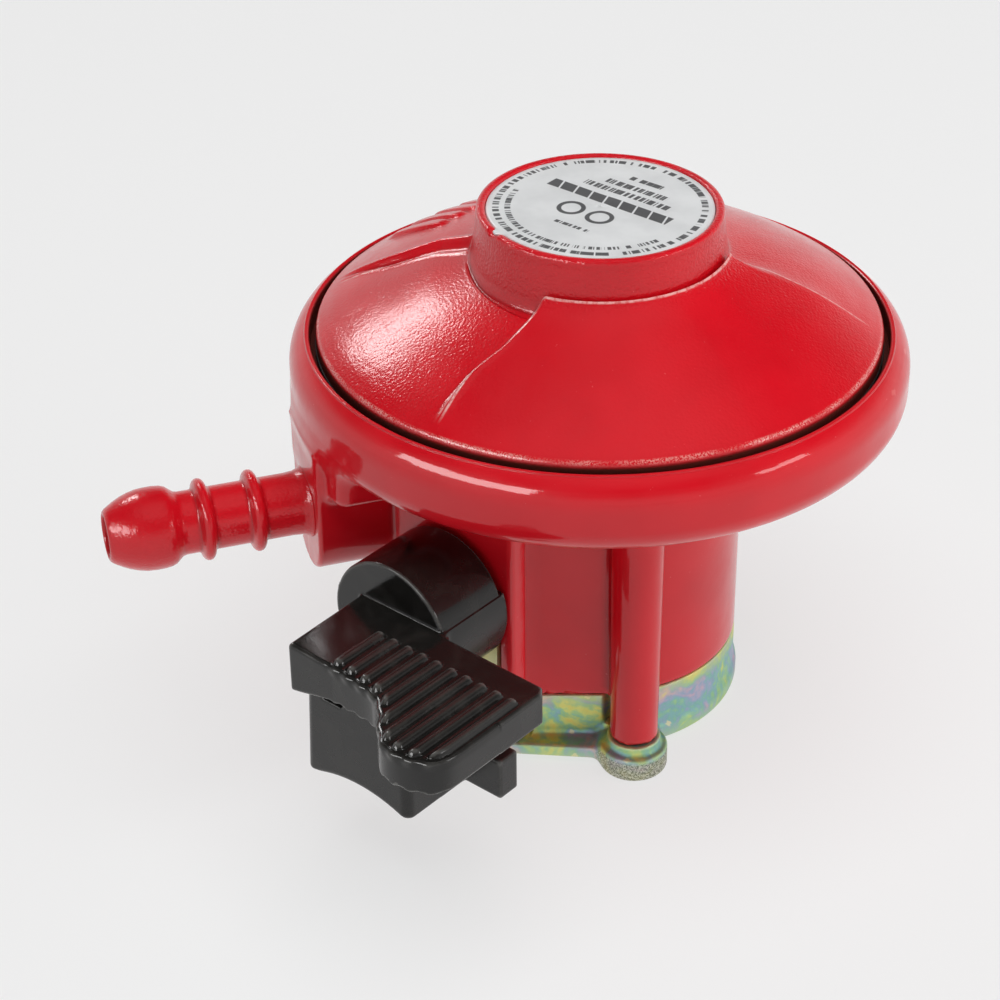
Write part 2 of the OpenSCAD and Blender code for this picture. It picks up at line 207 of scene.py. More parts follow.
def round_grid(radii, heights):
    """Counts and map of a grid whose outer squares are bent into circles."""
    n = len(radii) - 1

    def place(i, j, k):
        p, q = i - n, j - n
        ring = np.maximum(np.abs(p), np.abs(q))
        r = np.interp(ring, np.arange(n + 1), radii)
        near = np.where(ring < 1e-9, 1.0, ring)
        low_turn = np.abs(p) >= np.abs(q)
        a = math.pi / 4 * np.where(low_turn, q, p) / near
        long, short = r * np.cos(a), r * np.sin(a)
        x = np.where(low_turn, long * np.sign(p), short)
        y = np.where(low_turn, short, long * np.sign(q))
        return x, y, np.interp(k, np.arange(len(heights)), heights)
    return (2 * n + 1, 2 * n + 1, len(heights)), place


def graded(*stations):
    """Values from (start, step) pairs, each step used up to the next start."""
    values = []
    for (start, step), (stop, _) in zip(stations, stations[1:]):
        count = max(1, round((stop - start) / step))
        values += list(start + (stop - start) * np.arange(count) / count)
    return np.array(values + [stations[-1][0]])


def surface(field, grid, step):
    """Points and quads of a field's zero surface, sampled over a grid."""
    counts, place = grid
    i, j, k = [np.arange(n, dtype=float) for n in counts]
    x, y, z = place(i[:, None, None], j[None, :, None], k[None, None, :])
    values = np.broadcast_to(field(x, y, z), counts) / step
    volume = openvdb.FloatGrid(background=FIELD_LIMIT)
    volume.copyFromArray(np.ascontiguousarray(np.clip(values, -FIELD_LIMIT, FIELD_LIMIT), dtype=np.float32))
    points, quads = volume.convertToQuads(isovalue=0.0)
    points = np.stack(place(*points.astype(float).T), axis=1)
    for _ in range(SLIDES):
        g = gradient(field, points)
        size = np.maximum((g * g).sum(1), 0.05)
        move = -field(*points.T)[:, None] * g / size[:, None]
        points = points + np.clip(move, -0.4 * step, 0.4 * step)
    corners = points[quads[:, :3]]
    normals = np.cross(corners[:, 1] - corners[:, 0], corners[:, 2] - corners[:, 0])
    if (normals * gradient(field, corners[:, 0])).sum() < 0:
        quads = quads[:, ::-1]
    return points, quads


def resample(points, spacing):
    """The same open line with points no further apart than spacing."""
    dense = [points[0]]
    for (ax, ay), (bx, by) in zip(points, points[1:]):
        n = max(1, int(math.ceil(math.hypot(bx - ax, by - ay) / spacing)))
        dense += [(ax + (bx - ax) * i / n, ay + (by - ay) * i / n) for i in range(1, n + 1)]
    return dense


def even_line(points, spacing):
    """Points about spacing apart along an open line."""
    line = np.array(points, float)
    place = np.concatenate([[0], np.cumsum(np.hypot(*np.diff(line, axis=0).T))])
    at = np.linspace(0, place[-1], max(1, round(place[-1] / spacing)) + 1)
    return list(zip(np.interp(at, place, line[:, 0]), np.interp(at, place, line[:, 1])))


# --------------------------------------------------------------- materials
class Paint:
    """Short names for building one Principled material in node form."""

    def __init__(self, name, **values):
        self.material = bpy.data.materials.new(name)
        self.material.use_nodes = True
        self.tree = self.material.node_tree
        self.shader = self.tree.nodes["Principled BSDF"]
        self.set(**values)
        self.here = self.node("ShaderNodeTexCoord").outputs["Object"]

    def node(self, kind, **fields):
        n = self.tree.nodes.new(kind)
        for key, value in fields.items():
            setattr(n, key, value)
        return n

    def link(self, source, target):
        self.tree.links.new(source, target)

    def put(self, socket, value):
        """A number, a colour or another node's output into a socket."""
        if isinstance(value, bpy.types.NodeSocket):
            self.link(value, socket)
        elif isinstance(value, (tuple, list)) and socket.type == "RGBA":
            socket.default_value = (*value[:3], 1.0)
        else:
            socket.default_value = value

    def set(self, **values):
        for key, value in values.items():
            self.put(self.shader.inputs[key.replace("_", " ")], value)

    def noise(self, size, detail=3.0, roughness=0.55, at=None, distortion=0.0):
        """Noise whose lumps are about size millimetres across."""
        n = self.node("ShaderNodeTexNoise")
        self.put(n.inputs["Scale"], 1 / (size * MM))
        self.put(n.inputs["Detail"], detail)
        self.put(n.inputs["Roughness"], roughness)
        self.put(n.inputs["Distortion"], distortion)
        self.link(at or self.here, n.inputs["Vector"])
        return n.outputs["Fac"]

    def span(self, value, low, high, out_low=0.0, out_high=1.0):
        """value mapped from one range to another and held inside it."""
        n = self.node("ShaderNodeMapRange", interpolation_type="SMOOTHSTEP")
        for key, v in zip(("Value", "From Min", "From Max", "To Min", "To Max"),
                          (value, low, high, out_low, out_high)):
            self.put(n.inputs[key], v)
        return n.outputs["Result"]

    def math(self, operation, a, b=0.0):
        n = self.node("ShaderNodeMath", operation=operation)
        self.put(n.inputs[0], a)
        self.put(n.inputs[1], b)
        return n.outputs[0]

    def times(self, a, b):
        return self.math("MULTIPLY", a, b)

    def plus(self, a, b):
        return self.math("ADD", a, b)

    def minus(self, a, b):
        return self.math("SUBTRACT", a, b)

    def length(self, a, b):
        """How long a plane vector is."""
        return self.math("SQRT", self.plus(self.times(a, a), self.times(b, b)))

    def mix(self, share, a, b):
        n = self.node("ShaderNodeMix", data_type="RGBA")
        self.put(n.inputs["Factor"], share)
        self.put(n.inputs[6], a)
        self.put(n.inputs[7], b)
        return n.outputs[2]

    def ramp(self, value, *stops):
        n = self.node("ShaderNodeValToRGB")
        while len(n.color_ramp.elements) < len(stops):
            n.color_ramp.elements.new(0.5)
        for element, (place, colour) in zip(n.color_ramp.elements, stops):
            element.position = place
            element.color = (*colour, 1.0)
        self.put(n.inputs["Fac"], value)
        return n.outputs["Color"]

    def split(self):
        n = self.node("ShaderNodeSeparateXYZ")
        self.link(self.here, n.inputs[0])
        return n.outputs

    def edge_highlight(self, low=0.52, high=0.60):
        """One along sharp outer edges, where a highlight is painted, and zero on open faces."""
        return self.span(self.node("ShaderNodeNewGeometry").outputs["Pointiness"], low, high)

    def shade_in_hollows(self, low=0.44, high=0.50):
        """One down in corners, where shade is painted, and zero on open faces."""
        return self.span(self.node("ShaderNodeNewGeometry").outputs["Pointiness"], low, high, 1.0, 0.0)

    def bump(self, height, distance, strength=1.0, under=None):
        n = self.node("ShaderNodeBump")
        self.put(n.inputs["Strength"], strength)
        self.put(n.inputs["Distance"], distance * MM)
        self.put(n.inputs["Height"], height)
        if under is not None:
            self.link(under, n.inputs["Normal"])
        return n.outputs["Normal"]


# Painted highlight lines along the dome's ridges: each one's azimuth near the neck and further out, in degrees,
# the radii between which it turns, how far it stands to one side, and its strength.
RIDGE_HIGHLIGHTS = ((-136.6, -143.8, 18, 29, 0.45, 1.0), (-136.6, -143.8, 18, 29, -0.15, 0.7),
          (155.4, 149.2, 16, 24, 0.45, 0.6), (-31.0, -27.6, 16, 22, 0.0, 0.5))


def ridge_highlight_lines(p, reach, angle, z):
    """One along the dome's raised lines and the front of the neck's foot, where highlight lines are painted."""
    total = 0.0
    for near, far, turn_start, turn_end, aside, strength in RIDGE_HIGHLIGHTS:
        line = p.span(reach, turn_start * MM, turn_end * MM, math.radians(near), math.radians(far))
        off = p.minus(p.times(p.minus(angle, line), reach), aside * MM)
        band = p.span(p.math("ABSOLUTE", off), 0.08 * MM, 0.24 * MM, strength, 0.0)
        total = p.math("MAXIMUM", total, band)
    total = p.times(total, p.span(reach, 16.8 * MM, 17.6 * MM))
    total = p.times(total, p.span(reach, 32.5 * MM, 35.2 * MM, 1.0, 0.0))
    foot = p.math("ABSOLUTE", p.minus(reach, 16.95 * MM))
    foot = p.times(p.span(foot, 0.06 * MM, 0.20 * MM, 0.8, 0.0), p.span(z, 63 * MM, 64 * MM))
    foot = p.times(foot, p.span(angle, math.radians(-137), math.radians(-135)))
    foot = p.times(foot, p.span(angle, math.radians(-38), math.radians(-30), 1.0, 0.0))
    return p.times(p.math("MAXIMUM", total, foot), p.span(p.noise(0.7, 2), 0.34, 0.58, 0.35, 1.0))


SEAM_INNER, SEAM_R, SEAT_Z = 36.3, 37.4, 52.0
ENAMEL_COAT = 0.75
# The third red is painted shade for corners and creases.
DEEP_RED, CLEAR_RED, CORNER_SHADE_RED = (0.60, 0.0035, 0.011), (0.67, 0.005, 0.014), (0.16, 0.002, 0.004)
# The first pink is a painted edge highlight, and the brown is painted shade in the seam.
EDGE_HIGHLIGHT_PINK, SPECK_PINK, SEAM_SHADE_BROWN = (0.82, 0.24, 0.22), (0.80, 0.16, 0.16), (0.10, 0.016, 0.012)
# Both are painted highlights: glints on the dome's lower edge and lines along its ridges.
LIP_GLINT_PINK, LINE_HIGHLIGHT_PINK = (0.85, 0.45, 0.40), (0.92, 0.60, 0.56)


def seam_shade(p, reach, z):
    """One down in the seam round the dome, where shade is painted dark brown and the paint is matt."""
    inside = p.times(p.span(reach, (SEAM_INNER - 0.05) * MM, (SEAM_INNER + 0.2) * MM),
                     p.span(reach, (SEAM_R - 0.05) * MM, (SEAM_R + 0.3) * MM, 1.0, 0.0))
    inside = p.times(inside, p.span(z, (RIM_TOP - 0.5) * MM, (RIM_TOP + 0.1) * MM, 1.0, 0.0))
    return p.times(inside, p.span(z, (SEAT_Z - 2) * MM, (SEAT_Z - 1) * MM))


def lip_glints(p, reach, z):
    """Grains of painted glint along the dome's lower edge, in patches."""
    lip = p.math("ABSOLUTE", p.minus(reach, SEAM_INNER * MM))
    lip = p.times(p.span(lip, 0.05 * MM, 0.28 * MM, 1.0, 0.0), p.span(z, 54.7 * MM, 55.0 * MM))
    lip = p.times(lip, p.span(p.noise(0.22, 2, 0.6), 0.42, 0.58))
    return p.times(lip, p.span(p.noise(6.0, 1), 0.40, 0.60, 0.25, 1.0))


def red_enamel(name, grain, haze, painted_lines):
    """Glossy red enamel; grain and haze are how much the cast skin shows through it."""
    p = Paint(name, Coat_Weight=ENAMEL_COAT, Coat_Roughness=haze, Coat_IOR=1.5, Specular_IOR_Level=0.12)
    cloud = p.noise(14, 2)
    speck = p.span(p.noise(0.45, 1, 0.4), 0.775, 0.82)
    base = p.mix(p.span(cloud, 0.3, 0.7), DEEP_RED, CLEAR_RED)
    # Painted shade: corners and creases darkened.
    base = p.mix(p.times(p.shade_in_hollows(), 0.6), base, CORNER_SHADE_RED)
    # Painted highlight: sharp outer edges lightened to pink, where no ridge lines are painted.
    if not painted_lines:
        base = p.mix(p.times(p.edge_highlight(), 0.22), base, EDGE_HIGHLIGHT_PINK)
    base = p.mix(p.times(speck, 0.30), base, SPECK_PINK)
    x, y, z = p.split()
    reach = p.length(x, y)
    in_seam_shade = seam_shade(p, reach, z)
    # Painted shade: the seam round the dome darkened to brown.
    base = p.mix(in_seam_shade, base, SEAM_SHADE_BROWN)
    # Painted highlight: pale glints along the dome's lower edge.
    base = p.mix(p.times(lip_glints(p, reach, z), 0.6), base, LIP_GLINT_PINK)
    # Painted highlight: pale lines along the dome's ridges and the neck's foot.
    if painted_lines:
        lines = ridge_highlight_lines(p, reach, p.math("ARCTAN2", y, x), z)
        base = p.mix(p.times(lines, 0.8), base, LINE_HIGHLIGHT_PINK)
    p.set(Base_Color=base, Roughness=p.span(p.noise(5, 3), 0.3, 0.7, 0.32, 0.44))
    p.set(Coat_Weight=p.minus(ENAMEL_COAT, p.times(in_seam_shade, 0.6)))
    peel = p.bump(p.noise(3.0, 2), 0.06, 0.5)
    patch = p.span(p.noise(24, 1), 0.40, 0.62, 0.6, 1.0)
    patch = p.plus(patch, p.span(z, 64.5 * MM, 65.5 * MM, 0.0, 0.9))
    skin = p.times(p.noise(0.36, 1.5, 0.5), patch)
    fine = p.bump(skin, grain * 0.075, 1.0, peel)
    p.set(Normal=fine)
    p.link(fine, p.shader.inputs["Coat Normal"])
    return p.material


# Colours of the chromate film, from thin to thick, and those of its painted edge highlights and painted corner
# shade.
FILM = ((0.30, (0.80, 0.68, 0.18)), (0.40, (0.70, 0.74, 0.24)), (0.48, (0.38, 0.64, 0.34)),
        (0.55, (0.28, 0.54, 0.52)), (0.62, (0.38, 0.46, 0.62)), (0.69, (0.62, 0.48, 0.58)),
        (0.80, (0.78, 0.70, 0.28)))
TOP_YELLOW, LOW_GREEN, EDGE_HIGHLIGHT_STRAW = (0.84, 0.74, 0.26), (0.60, 0.70, 0.34), (0.88, 0.80, 0.46)
CORNER_SHADE_DARK, GRIT_DARK, GRIT_BRIGHT = (0.09, 0.09, 0.05), (0.16, 0.13, 0.09), (0.72, 0.68, 0.58)
FOOT_SIDE_R, FOOT_SIDE_TOP = (4.3, 5.6), (1.6, 2.3)     # where the rough side of a foot ends


def passivated(name):
    """Zinc plate with a yellow chromate film that shows green, blue and purple."""
    p = Paint(name, Metallic=0.82)
    x, y, z = p.split()
    drift = p.noise(7.5, 3, 0.6, distortion=1.0)
    edge_glow = p.span(z, 5.6 * MM, SKIRT_TOP * MM, 0.0, 1.0)
    low_glow = p.span(z, 0.0, 2.6 * MM, 1.0, 0.0)
    film = p.plus(drift, p.times(p.minus(p.noise(0.9, 3), 0.5), 0.22))
    colour = p.ramp(film, *FILM)
    colour = p.mix(p.times(edge_glow, 0.45), colour, TOP_YELLOW)
    colour = p.mix(p.times(low_glow, 0.45), colour, LOW_GREEN)
    # Painted highlight: sharp outer edges lightened to straw.
    colour = p.mix(p.times(p.edge_highlight(0.51, 0.58), 0.7), colour, EDGE_HIGHLIGHT_STRAW)
    # Painted shade: corners darkened.
    colour = p.mix(p.times(p.shade_in_hollows(0.43, 0.49), 0.8), colour, CORNER_SHADE_DARK)
    nearest = None
    for foot in FEET:
        fx, fy = from_lever(FOOT_REACH * math.cos(foot), FOOT_REACH * math.sin(foot))
        dx, dy = p.minus(x, fx * MM), p.minus(y, fy * MM)
        gap = p.length(dx, dy)
        nearest = gap if nearest is None else p.math("MINIMUM", nearest, gap)
    foot_near = p.span(nearest, FOOT_SIDE_R[0] * MM, FOOT_SIDE_R[1] * MM, 1.0, 0.0)
    foot_low = p.span(z, FOOT_SIDE_TOP[0] * MM, FOOT_SIDE_TOP[1] * MM, 1.0, 0.0)
    foot_side = p.times(foot_near, foot_low)
    grit = p.noise(0.22, 3, 0.7)
    raw = p.mix(p.span(grit, 0.42, 0.60), GRIT_DARK, GRIT_BRIGHT)
    colour = p.mix(p.times(foot_side, 0.85), colour, raw)
    dull = p.span(p.noise(1.6, 4, 0.7), 0.3, 0.75, 0.42, 0.60)
    p.set(Base_Color=colour, Roughness=dull)
    dents = p.bump(p.noise(3.4, 2), 0.14, 0.5, p.bump(p.noise(0.45, 4, 0.65), 0.035, 0.7))
    p.set(Normal=p.bump(p.times(grit, foot_side), 0.16, 1.0, dents))
    return p.material


def metal(name, colour, rough=0.3, streak=0.6):
    """Turned or drawn metal with fine tool marks, a little tarnish and painted shade in its hollows."""
    p = Paint(name, Metallic=1.0)
    tarnish = tuple(c * 0.62 for c in colour)
    cloud = p.span(p.noise(3.0, 4, 0.6), 0.35, 0.75)
    base = p.mix(p.times(cloud, 0.5), colour, tarnish)
    # Painted shade: hollows darkened.
    base = p.mix(p.times(p.shade_in_hollows(), 0.6), base, tuple(c * 0.25 for c in colour))
    p.set(Base_Color=base, Roughness=p.span(p.noise(1.2, 3), 0.3, 0.7, rough, rough + 0.16))
    p.set(Normal=p.bump(p.noise(0.25, 3, 0.6), 0.01, streak))
    return p.material


def rubber(name):
    p = Paint(name, IOR=1.5)
    base = p.mix(p.span(p.noise(2.0, 4), 0.35, 0.7), (0.016, 0.016, 0.017), (0.035, 0.034, 0.033))
    p.set(Base_Color=base, Roughness=p.span(p.noise(1.0, 3), 0.3, 0.7, 0.55, 0.75))
    p.set(Normal=p.bump(p.noise(0.3, 3, 0.6), 0.02, 0.6))
    return p.material


def black_moulding(name):
    """Gloss black plastic, duller and marked where the tool was not polished, with a painted highlight on its
    sharp edges.
    """
    p = Paint(name, Specular_IOR_Level=0.42)
    z = p.split()[2]
    low = p.span(z, (SHAFT_Z - 1) * MM, (SHAFT_Z + 5) * MM, 1.0, 0.0)
    smear = p.span(p.noise(4.5, 4, 0.65, distortion=0.8), 0.42, 0.75)
    base = p.mix(p.times(smear, 0.6), (0.0105, 0.0098, 0.0090), (0.026, 0.024, 0.021))
    # Painted highlight: sharp outer edges lightened to grey.
    base = p.mix(p.times(p.edge_highlight(0.512, 0.565), 0.55), base, (0.17, 0.165, 0.155))
    gloss = p.plus(p.span(smear, 0.0, 1.0, 0.11, 0.20), p.times(low, 0.16))
    p.set(Base_Color=base, Roughness=gloss)
    fine = p.bump(p.noise(0.35, 3, 0.6), 0.012, 0.5)
    p.set(Normal=p.bump(p.noise(6.0, 2), 0.10, 0.35, fine))
    return p.material


LABEL_TURN = -57.7      # degrees by which the label's rows are turned
# Rows of dashes: place across the label, half height, half length, pitch and seed.
LABEL_ROWS = ((9.0, 0.50, 2.6, 0.36, 0.51), (6.7, 0.60, 4.9, 0.40, 0.63),
              (4.7, 0.60, 6.6, 0.40, 0.77), (-6.6, 0.34, 2.6, 0.30, 0.91))
RING_ROW, RING_PLACES, RING_R = -2.6, (-2.6, 1.9), 1.55


def label_print(name, radius):
    """Satin silver label. Rows of plain dashes stand where a label has its print."""
    p = Paint(name, Metallic=0.1)
    x, y, _ = p.split()
    turn = math.radians(LABEL_TURN)
    along = p.plus(p.times(x, math.cos(turn)), p.times(y, math.sin(turn)))
    across = p.plus(p.times(x, -math.sin(turn)), p.times(y, math.cos(turn)))
    reach = p.length(x, y)
    angle = p.math("ARCTAN2", y, x)

    def band(value, middle, half, soft=0.06):
        """One within half of middle, both in millimetres."""
        off = p.math("ABSOLUTE", p.minus(value, middle * MM))
        return p.span(off, (half - soft) * MM, (half + soft) * MM, 1.0, 0.0)

    def dashes(value, pitch, seed):
        """Short dashes in groups, with gaps between the groups."""
        place = p.node("ShaderNodeCombineXYZ")
        p.put(place.inputs[0], value)
        p.put(place.inputs[1], seed)
        small = p.span(p.noise(pitch, 0.5, 0.5, at=place.outputs[0]), 0.44, 0.50)
        group = p.span(p.noise(pitch * 7, 0.0, 0.5, at=place.outputs[0]), 0.30, 0.33)
        return p.times(small, group)

    arc_length = p.times(angle, radius * 0.88 * MM)
    ink = p.times(band(reach, radius - 1.25, 0.42), dashes(arc_length, 0.34, 0.11))
    inner_half = p.span(across, -3.0 * MM, -2.5 * MM, 1.0, 0.0)
    second = p.times(band(reach, radius - 2.75, 0.38), dashes(arc_length, 0.32, 0.37))
    ink = p.math("MAXIMUM", ink, p.times(second, inner_half))
    for row, half, reach_along, pitch, seed in LABEL_ROWS:
        line = p.times(band(across, row, half), band(along, 0.6, reach_along))
        ink = p.math("MAXIMUM", ink, p.times(line, dashes(along, pitch, seed)))
    bar = p.times(band(across, 1.9, 1.0), band(along, 0.0, 9.4))
    slant = p.plus(along, p.times(across, 0.35))
    cuts = p.math("ABSOLUTE", p.math("SINE", p.times(slant, math.pi / (2.35 * MM))))
    ink = p.math("MAXIMUM", ink, p.times(bar, p.span(cuts, 0.14, 0.22)))
    for middle in RING_PLACES:
        dx = p.minus(along, middle * MM)
        dy = p.minus(across, RING_ROW * MM)
        ring = p.length(dx, dy)
        ink = p.math("MAXIMUM", ink, band(ring, RING_R, 0.30))
    cloud = p.span(p.noise(7.0, 3), 0.3, 0.7)
    base = p.mix(cloud, (0.70, 0.71, 0.715), (0.80, 0.81, 0.815))
    base = p.mix(p.times(ink, 0.92), base, (0.035, 0.035, 0.038))
    p.set(Base_Color=base, Roughness=p.span(p.noise(1.5, 3), 0.3, 0.7, 0.34, 0.46))
    p.set(Normal=p.bump(p.noise(0.30, 2, 0.5), 0.008, 0.5, p.bump(p.noise(9.0, 2), 0.10, 0.4)))
    return p.material


RED = red_enamel("red_enamel", 0.12, 0.04, False)
RED_CAST = red_enamel("red_enamel_cast", 0.85, 0.12, True)
PLATED = passivated("passivated_steel")
BLACK = black_moulding("black_moulding")
STEEL = metal("bright_steel", (0.60, 0.60, 0.61), 0.26)
ALLOY = metal("satin_alloy", (0.74, 0.74, 0.75), 0.38)
BRASS = metal("machined_brass", (0.74, 0.55, 0.24), 0.24)
RUBBER = rubber("black_rubber")


# ----------------------------------------------------------------- housing
def table_field(points, low, high, step=0.1):
    """Field of a closed plane outline, read back from a fine table."""
    a = np.arange(low[0], high[0], step)
    b = np.arange(low[1], high[1], step)
    table = outline(a[:, None], b[None, :], points)

    def field(p, q):
        i = np.clip((p - low[0]) / step, 0, len(a) - 1.001)
        j = np.clip((q - low[1]) / step, 0, len(b) - 1.001)
        i0, j0 = i.astype(int), j.astype(int)
        i, j = i - i0, j - j0
        near = table[i0, j0] * (1 - j) + table[i0, j0 + 1] * j
        far = table[i0 + 1, j0] * (1 - j) + table[i0 + 1, j0 + 1] * j
        return near * (1 - i) + far * i
    return field


def bell_plan(u, v, r):
    """Plan of the bell: round, with two flats tangent to it that run to the neck."""
    w = np.abs(v)
    tip = (r - SHAFT_NECK_HALF * math.sin(WALL_ANGLE)) / math.cos(WALL_ANGLE)
    flat = np.maximum(u * math.cos(WALL_ANGLE) + w * math.sin(WALL_ANGLE) - r, u - tip)
    return np.where(np.arctan2(w, u) < WALL_ANGLE, flat, np.hypot(u, v) - r)


BOWL_R, BOWL_Z = 30.5, 46.0
rim_outline = (
    [(-2.0, RIM_BOTTOM)]
    + arc(RIM_R - 4, RIM_BOTTOM + 4, 4, 4, -90, 0, 16)
    + arc(35.6, 50.3, RIM_R - 35.6, 4.75, 0, 58, 16)
    + arc(37.9, 54.15, 0.5, 0.36, 60, 180, 8)
    + [(SEAM_R, 53.2), (SEAM_R, SEAT_Z), (BOWL_R, SEAT_Z), (BOWL_R, BOWL_Z), (-2.0, BOWL_Z)])
rim_field = table_field(rim_outline, (-3, 36), (44, 60))


def feet_distance(u, v, reach=FOOT_REACH):
    """Distance in plan from the nearest of three axes at the feet's azimuths."""
    return np.minimum.reduce([
        np.hypot(u - reach * math.cos(a), v - reach * math.sin(a)) for a in FEET])


POST_FOOT, IN_RIM = 4.0, 45.0       # where the posts start, and where all ends inside the rim
FLANGE_BACK, FLANGE_FRONT, FLANGE_HALF = 26.2, 29.2, 9.8
POST_R, POST_SPREAD, SPIGOT_TOP = 3.15, 0.3, 12.0
BOSS_R, BOSS_Z, BOSS_TIP = 6.3, 32.0, -40.0
APRON_LOW, APRON_HALF, APRON_R = 39.0, 10.8, 39.3
SOCKET_TOP, CHAMBER_TOP, OPEN_TOP = 19.0, 34.0, 50.0
CHAMBER_R, UPPER_WAY_R, GAS_WAY_R, GAS_WAY_X = 7.0, 5.0, 2.75, -24.0
JET_X, JET_R, JET_HEAD_R, JET_HEAD_Z = 12.0, 2.97, 3.8, 44.8
SHAFT_HOLE_R, SHAFT_HOLE_END = 4.05, 31.0
SLOT_BACK, SLOT_LEFT, SLOT_RIGHT, SLOT_TOP = 26.7, 1.45, 7.55, 23.3
TAIL_SEAT_R, TAIL_SEAT_X, SCREW_HOLE_R = 4.05, -32.0, 1.42
EAR_X, EAR_Y, EAR_HALF, EAR_TOP, ROCKER_PIN_Z, ROCKER_PIN_R = 8.0, 3.6, 1.8, 50.8, 49.0, 0.8


def outside_of_bell(x, y, z):
    """Bell, shaft's neck, flange, posts, outlet boss and rim, blended as cast."""
    u, v = to_lever(x, y)
    r = np.hypot(x, y)
    bell = edge(bell_plan(u, v, BELL_R), slab(z, SKIRT_TOP, IN_RIM), 0.35)
    neck = block(u, v, z, (15, -SHAFT_NECK_HALF, SKIRT_TOP), (28, SHAFT_NECK_HALF, IN_RIM), 0.4)
    flange = block(u, v, z, (FLANGE_BACK, -FLANGE_HALF, SKIRT_TOP),
                   (FLANGE_FRONT, FLANGE_HALF, IN_RIM), 0.7)
    bell = blend(blend(bell, neck, 1.6), flange, 1.2)
    spread = POST_SPREAD * (z - POST_FOOT) / (IN_RIM - POST_FOOT)
    posts = edge(feet_distance(u, v) - POST_R - spread, slab(z, POST_FOOT, IN_RIM), 0.3)
    body = blend(bell, posts, 1.8)
    boss = np.hypot(y, np.minimum(z - BOSS_Z, 0)) - BOSS_R
    boss = edge(boss, np.maximum(slab(x, BOSS_TIP, -15), z - IN_RIM), 0.6)
    apron = np.maximum(slab(z, APRON_LOW, 47), BOWL_R + 1 - r)
    apron = edge(edge(apron, r - APRON_R, 1.2), np.maximum(np.abs(y) - APRON_HALF, x), 2.2)
    body = blend(body, blend(boss, apron, 2.2), 1.4)
    return blend(body, rim_field(r, z), 2.4)


def housing(x, y, z):
    u, v = to_lever(x, y)
    r = np.hypot(x, y)
    body = outside_of_bell(x, y, z)
    spigot = edge(bell_plan(u, v, BELL_R - 1.6), slab(z, POST_FOOT, SPIGOT_TOP), 0.3)
    body = np.minimum(body, spigot)
    body = cut(body, np.maximum(r - SOCKET_R, z - SOCKET_TOP), 0.5)
    body = cut(body, np.maximum(r - CHAMBER_R, z - CHAMBER_TOP), 0.5)
    body = cut(body, np.maximum(r - UPPER_WAY_R, slab(z, 42, OPEN_TOP)), 0.5)
    jet = np.hypot(x - JET_X, y)
    body = cut(body, np.maximum(jet - JET_R, slab(z, 41, OPEN_TOP)))
    body = cut(body, np.maximum(jet - JET_HEAD_R, slab(z, JET_HEAD_Z, OPEN_TOP)))
    shaft_hole = np.hypot(v, z - SHAFT_Z) - SHAFT_HOLE_R
    body = cut(body, np.maximum(shaft_hole, slab(u, 0, SHAFT_HOLE_END)), 0.6)
    slot = np.maximum(slab(u, SLOT_BACK, SHAFT_HOLE_END), slab(v, SLOT_LEFT, SLOT_RIGHT))
    body = cut(body, np.maximum(slot, z - SLOT_TOP), 0.5)
    body = cut(body, np.maximum(feet_distance(u, v) - SCREW_HOLE_R, z - 14))
    outlet = np.hypot(y, z - TAIL_Z)
    body = cut(body, np.maximum(outlet - TAIL_SEAT_R, slab(x, BOSS_TIP - 2, TAIL_SEAT_X)), 0.3)
    body = cut(body, np.maximum(outlet - GAS_WAY_R, slab(x, BOSS_TIP - 2, GAS_WAY_X + 2)))
    body = cut(body, np.maximum(np.hypot(x - GAS_WAY_X, y) - GAS_WAY_R, slab(z, TAIL_Z, OPEN_TOP)))
    ears = np.maximum(slab(x, EAR_X - EAR_HALF, EAR_X + EAR_HALF), slab(z, IN_RIM, EAR_TOP))
    ears = np.maximum(np.abs(np.abs(y) - EAR_Y) - EAR_HALF / 2, ears)
    ears = cut(ears, np.hypot(x - EAR_X, z - ROCKER_PIN_Z) - ROCKER_PIN_R, 0.2)
    return np.minimum(body, ears)


def solid(name, field, grid, step, body, material, slot, *nodes, turned=False):
    """Meshes a field and shades it with the field's own normals."""
    points, quads = surface(field, grid, step)
    normals = gradient(field, points)
    normals /= np.maximum(np.linalg.norm(normals, axis=1), 1e-9)[:, None]
    if turned:
        for array in (points, normals):
            array[:, 0], array[:, 1] = from_lever(array[:, 0].copy(), array[:, 1].copy())
    obj = piece(name, points, quads, normals, body, material, slot, *nodes)
    print(name, "triangles", 2 * len(quads))
    return obj


COARSE = 1.0
housing_radii = graded((0, 0.68 * COARSE), (35.4, 0.45 * COARSE), (36.7, 0.22 * COARSE),
                       (38.5, 0.40 * COARSE), (41.5, 0))
housing_heights = graded((2.5, 0.60 * COARSE), (51.5, 0.40 * COARSE), (52.7, 0.20 * COARSE), (55.3, 0))
housing_grid = round_grid(housing_radii, housing_heights)
solid("housing_casting", housing, housing_grid, 0.5,
      "housing", RED, "red_paint", "lower_body")


# -------------------------------------------------------------- base plate
WEDGE = [(13.6, -19.3), (26, -1.5), (26, 1.5), (13.6, 19.3), (6, 16),
         (-14, 8), (-21.4, 4.1), (-21.4, -4.1), (-14, -8), (6, -16)]
wedge_field = table_field(WEDGE, (-26, -26), (32, 26))
FLOOR_TOP, PAD_TOP, COLLAR_TOP = 1.9, 2.5, 4.0
PAD_R, COLLAR_R, SCREW_HEAD_R = 4.5, 3.55, 2.9
POST_ROOM_R, POST_ROOM_REACH = 4.25, 0.985 * FOOT_REACH
SLIDE_BACK, SLIDE_LEFT, SLIDE_RIGHT = 14.0, 1.5, 5.5


